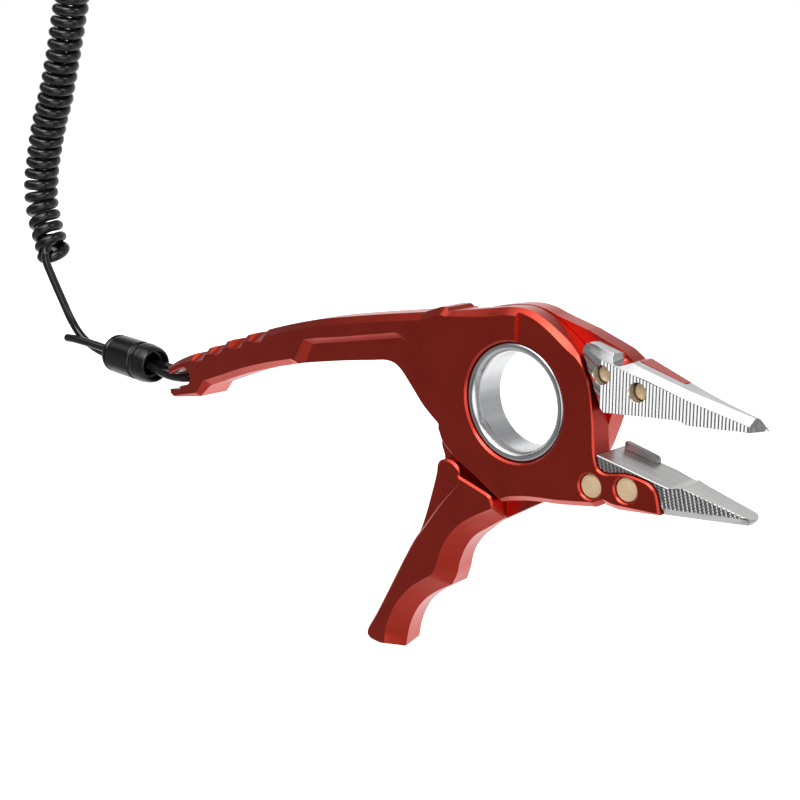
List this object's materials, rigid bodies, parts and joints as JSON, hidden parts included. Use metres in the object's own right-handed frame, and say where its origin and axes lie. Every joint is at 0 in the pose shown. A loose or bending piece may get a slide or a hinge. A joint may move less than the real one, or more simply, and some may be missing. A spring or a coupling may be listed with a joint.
{
  "type": "fishing pliers",
  "caption": "Fishing pliers with a hollow ring pivot, riveted steel jaws with a side cutter, a long thumb handle, a short finger handle and a coiled lanyard with a snap hook.",
  "frame": {"origin": "on the lever's flat outer hub face, 19 mm straight below the pivot axis", "axes": "+X towards the jaw tips, +Y along the pivot axis, +Z towards the long handle's back"},
  "size_m": [0.2596, 0.012, 0.253],
  "materials": {
    "anodised_frame": "deep red anodised aluminium with a fine satin grain",
    "turned_steel": "turned stainless, polished lip",
    "spring_steel": "plain steel",
    "bronze": "plain bearing bronze",
    "ground_steel": "ground and machined stainless with cut grooves",
    "blade_steel": "hardened tool steel",
    "rivet_brass": "turned pale brass with ring marks",
    "cord": "glossy black polyurethane over cord",
    "lock_black": "black anodised, half gloss",
    "hook_metal": "bright plated steel"
  },
  "bodies": {
    "handle": {"handle_frame": "anodised_frame", "pivot_sleeve": "turned_steel", "pivot_retaining_ring": "spring_steel", "thrust_washer": "bronze", "return_spring": "spring_steel", "opening_stop_pin": "spring_steel", "lower_jaw": "ground_steel", "lower_jaw_rivet_rear": "rivet_brass", "lower_jaw_rivet_front": "rivet_brass", "lower_cutter_blade": "blade_steel", "cutter_screw": "spring_steel", "lanyard_pin": "spring_steel"},
    "lever": {"lever_frame": "anodised_frame", "pivot_bushing": "bronze", "upper_jaw": "ground_steel", "upper_jaw_rivet_rear": "rivet_brass", "upper_jaw_rivet_front": "rivet_brass", "upper_cutter_blade": "blade_steel"},
    "lanyard": {"handle_loop": "cord", "cord_lock_barrel": "lock_black", "cord_lock_cap": "lock_black", "cord_tail": "cord", "lead_cord": "cord", "coil_cord": "cord"},
    "clip_end": {"upper_cord": "cord", "clip_lock_barrel": "lock_black", "clip_lock_cap": "lock_black", "clip_loop": "cord", "swivel_eye": "hook_metal"},
    "hook": {"snap_hook": "hook_metal", "gate_pin": "hook_metal"},
    "gate": {"hook_gate": "hook_metal"}
  },
  "joints": [
    {"name": "jaw_pivot", "type": "hinge", "parent": "handle", "child": "lever", "pos_m": [0, -0.006, 0.019], "axis": [0, 1, 0], "range_deg": [0, 16.2]},
    {"name": "lanyard_swing", "type": "hinge", "parent": "handle", "child": "lanyard", "pos_m": [-0.1218, -0.006, 0.0065], "axis": [0, 0, 1], "range_deg": [-50, 50]},
    {"name": "coil_stretch", "type": "slide", "parent": "lanyard", "child": "clip_end", "axis": [0, 0, 1], "range_m": [0, 0.12], "deforming": ["coil_cord"]},
    {"name": "hook_swivel", "type": "hinge", "parent": "clip_end", "child": "hook", "pos_m": [-0.1666, -0.006, 0.171], "axis": [0, 0, 1], "continuous": true},
    {"name": "gate_hinge", "type": "hinge", "parent": "hook", "child": "gate", "pos_m": [-0.1719, -0.006, 0.1786], "axis": [0, 1, 0], "range_deg": [0, 28]}
  ]
}
